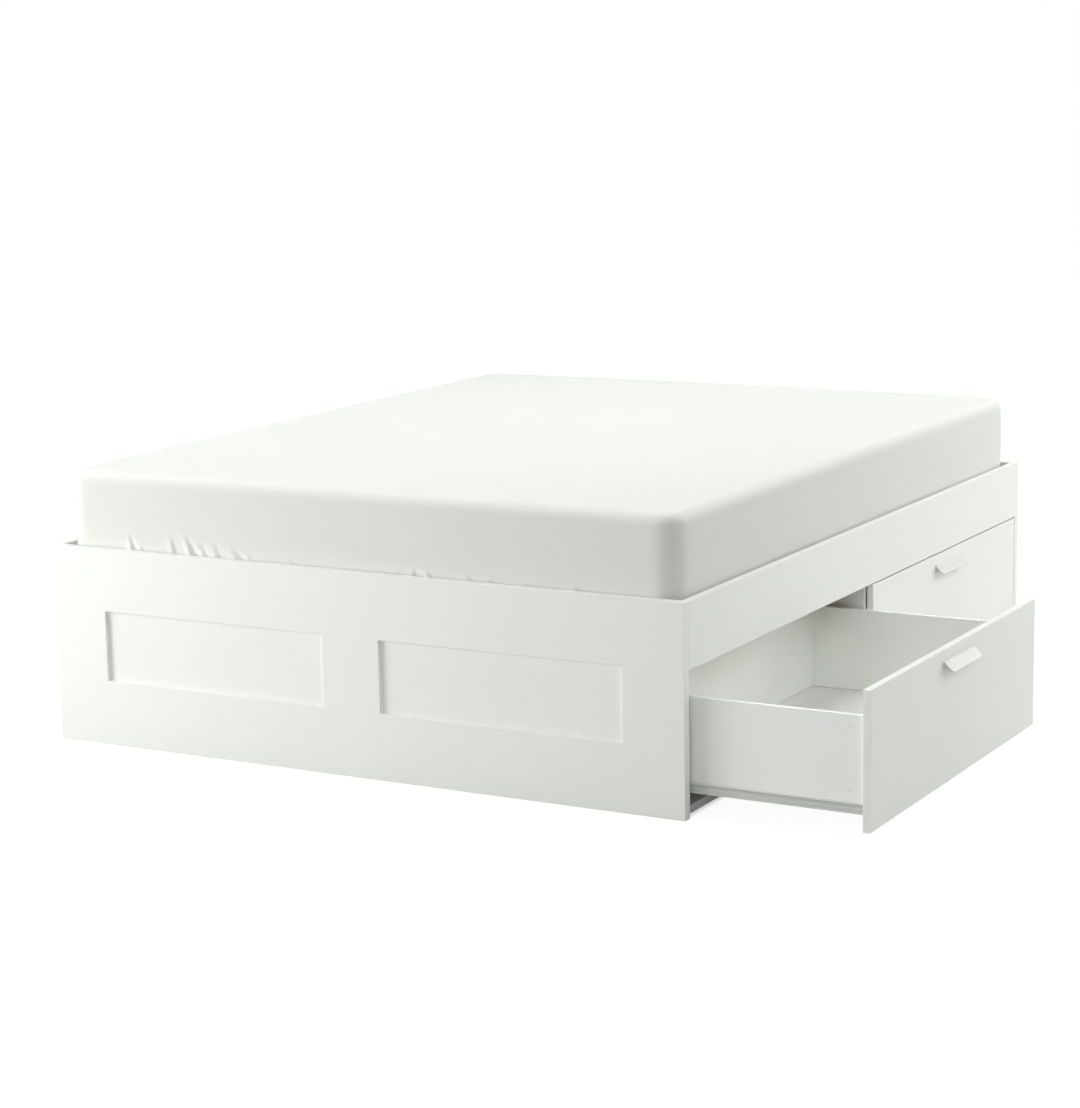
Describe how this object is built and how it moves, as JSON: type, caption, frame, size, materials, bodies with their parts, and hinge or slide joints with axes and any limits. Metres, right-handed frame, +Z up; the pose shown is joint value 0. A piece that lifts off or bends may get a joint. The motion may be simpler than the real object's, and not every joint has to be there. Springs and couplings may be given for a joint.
{
  "type": "platform bed with storage drawers",
  "caption": "White platform bed with recessed end panels, under-bed storage drawers on roller runners, a bent-slat base and a deep mattress, shown with a drawer pulled out.",
  "frame": {"origin": "on the floor under the middle of the bed, at the bottom of the mid beam leg's foot", "axes": "+X towards the right side, where the open drawer is, +Y towards the head end, +Z up"},
  "size_m": [2.1152, 2.06, 0.6495],
  "materials": {
    "panel_foil": "satin",
    "carcase_foil": "matte",
    "drawer_foil": "matte",
    "bottom_foil": "matte",
    "ledge_wood": "matte",
    "slat_wood": "satin",
    "slat_tape": "matte",
    "zinc_steel": "satin",
    "leg_enamel": "satin",
    "leg_plastic": "matte",
    "handle_enamel": "satin",
    "runner_enamel": "satin",
    "roller_plastic": "matte",
    "mattress_cover": "matte",
    "fitted_sheet": "matte",
    "screw_zinc": "satin"
  },
  "bodies": {
    "frame": {"foot_end_panel": "panel_foil", "head_end_panel": "panel_foil", "side_rail_right": "panel_foil", "side_rail_left": "panel_foil", "divider_right": "carcase_foil", "divider_left": "carcase_foil", "floor_board_right": "carcase_foil", "floor_board_left": "carcase_foil", "inner_board_right": "carcase_foil", "inner_board_left": "carcase_foil", "ledge_right": "ledge_wood", "ledge_left": "ledge_wood", "mid_beam": "zinc_steel", "beam_brackets": "zinc_steel", "beam_leg": "leg_enamel", "leg_foot": "leg_plastic", "slats_right": "slat_wood", "slats_left": "slat_wood", "slat_tapes": "slat_tape", "mattress": "mattress_cover", "channel_runners_foot_right": "runner_enamel", "channel_runners_head_right": "runner_enamel", "channel_runners_foot_left": "runner_enamel", "channel_runners_head_left": "runner_enamel"},
    "drawer_foot_right": {"drawer_front_foot_right": "panel_foil", "drawer_left_side_foot_right": "drawer_foil", "drawer_right_side_foot_right": "drawer_foil", "drawer_back_foot_right": "drawer_foil", "drawer_bottom_foot_right": "bottom_foil", "drawer_handle_foot_right": "handle_enamel", "drawer_runners_foot_right": "runner_enamel"},
    "rear_rollers_foot_right": {"drawer_rollers_foot_right": "roller_plastic"},
    "front_rollers_foot_right": {"channel_rollers_foot_right": "roller_plastic"},
    "drawer_head_right": {"drawer_front_head_right": "panel_foil", "drawer_left_side_head_right": "drawer_foil", "drawer_right_side_head_right": "drawer_foil", "drawer_back_head_right": "drawer_foil", "drawer_bottom_head_right": "bottom_foil", "drawer_handle_head_right": "handle_enamel", "drawer_runners_head_right": "runner_enamel"},
    "rear_rollers_head_right": {"drawer_rollers_head_right": "roller_plastic"},
    "front_rollers_head_right": {"channel_rollers_head_right": "roller_plastic"},
    "drawer_foot_left": {"drawer_front_foot_left": "panel_foil", "drawer_left_side_foot_left": "drawer_foil", "drawer_right_side_foot_left": "drawer_foil", "drawer_back_foot_left": "drawer_foil", "drawer_bottom_foot_left": "bottom_foil", "drawer_handle_foot_left": "handle_enamel", "drawer_runners_foot_left": "runner_enamel"},
    "rear_rollers_foot_left": {"drawer_rollers_foot_left": "roller_plastic"},
    "front_rollers_foot_left": {"channel_rollers_foot_left": "roller_plastic"},
    "drawer_head_left": {"drawer_front_head_left": "panel_foil", "drawer_left_side_head_left": "drawer_foil", "drawer_right_side_head_left": "drawer_foil", "drawer_back_head_left": "drawer_foil", "drawer_bottom_head_left": "bottom_foil", "drawer_handle_head_left": "handle_enamel", "drawer_runners_head_left": "runner_enamel"},
    "rear_rollers_head_left": {"drawer_rollers_head_left": "roller_plastic"},
    "front_rollers_head_left": {"channel_rollers_head_left": "roller_plastic"}
  },
  "joints": [
    {"name": "slide_foot_right", "type": "slide", "parent": "frame", "child": "drawer_foot_right", "axis": [1, 0, 0], "range_m": [-0.406, 0]},
    {"name": "rear_roll_foot_right", "type": "hinge", "parent": "drawer_foot_right", "child": "rear_rollers_foot_right", "pos_m": [0.688, -0.507, 0.0638], "axis": [0, 1, 0], "continuous": true},
    {"name": "front_roll_foot_right", "type": "hinge", "parent": "frame", "child": "front_rollers_foot_right", "pos_m": [0.797, -0.507, 0.0658], "axis": [0, 1, 0], "continuous": true},
    {"name": "slide_head_right", "type": "slide", "parent": "frame", "child": "drawer_head_right", "axis": [1, 0, 0], "range_m": [0, 0.406]},
    {"name": "rear_roll_head_right", "type": "hinge", "parent": "drawer_head_right", "child": "rear_rollers_head_right", "pos_m": [0.282, 0.507, 0.0638], "axis": [0, 1, 0], "continuous": true},
    {"name": "front_roll_head_right", "type": "hinge", "parent": "frame", "child": "front_rollers_head_right", "pos_m": [0.797, 0.507, 0.0658], "axis": [0, 1, 0], "continuous": true},
    {"name": "slide_foot_left", "type": "slide", "parent": "frame", "child": "drawer_foot_left", "axis": [-1, 0, 0], "range_m": [0, 0.406]},
    {"name": "rear_roll_foot_left", "type": "hinge", "parent": "drawer_foot_left", "child": "rear_rollers_foot_left", "pos_m": [-0.282, -0.507, 0.0638], "axis": [0, -1, 0], "continuous": true},
    {"name": "front_roll_foot_left", "type": "hinge", "parent": "frame", "child": "front_rollers_foot_left", "pos_m": [-0.797, -0.507, 0.0658], "axis": [0, -1, 0], "continuous": true},
    {"name": "slide_head_left", "type": "slide", "parent": "frame", "child": "drawer_head_left", "axis": [-1, 0, 0], "range_m": [0, 0.406]},
    {"name": "rear_roll_head_left", "type": "hinge", "parent": "drawer_head_left", "child": "rear_rollers_head_left", "pos_m": [-0.282, 0.507, 0.0638], "axis": [0, -1, 0], "continuous": true},
    {"name": "front_roll_head_left", "type": "hinge", "parent": "frame", "child": "front_rollers_head_left", "pos_m": [-0.797, 0.507, 0.0658], "axis": [0, -1, 0], "continuous": true}
  ],
  "couplings": [
    {"joint": "rear_roll_foot_right", "follows": "slide_foot_right", "rad_per_m": 111.11},
    {"joint": "front_roll_foot_right", "follows": "slide_foot_right", "rad_per_m": 111.11},
    {"joint": "rear_roll_head_right", "follows": "slide_head_right", "rad_per_m": 111.11},
    {"joint": "front_roll_head_right", "follows": "slide_head_right", "rad_per_m": 111.11},
    {"joint": "rear_roll_foot_left", "follows": "slide_foot_left", "rad_per_m": 111.11},
    {"joint": "front_roll_foot_left", "follows": "slide_foot_left", "rad_per_m": 111.11},
    {"joint": "rear_roll_head_left", "follows": "slide_head_left", "rad_per_m": 111.11},
    {"joint": "front_roll_head_left", "follows": "slide_head_left", "rad_per_m": 111.11}
  ]
}
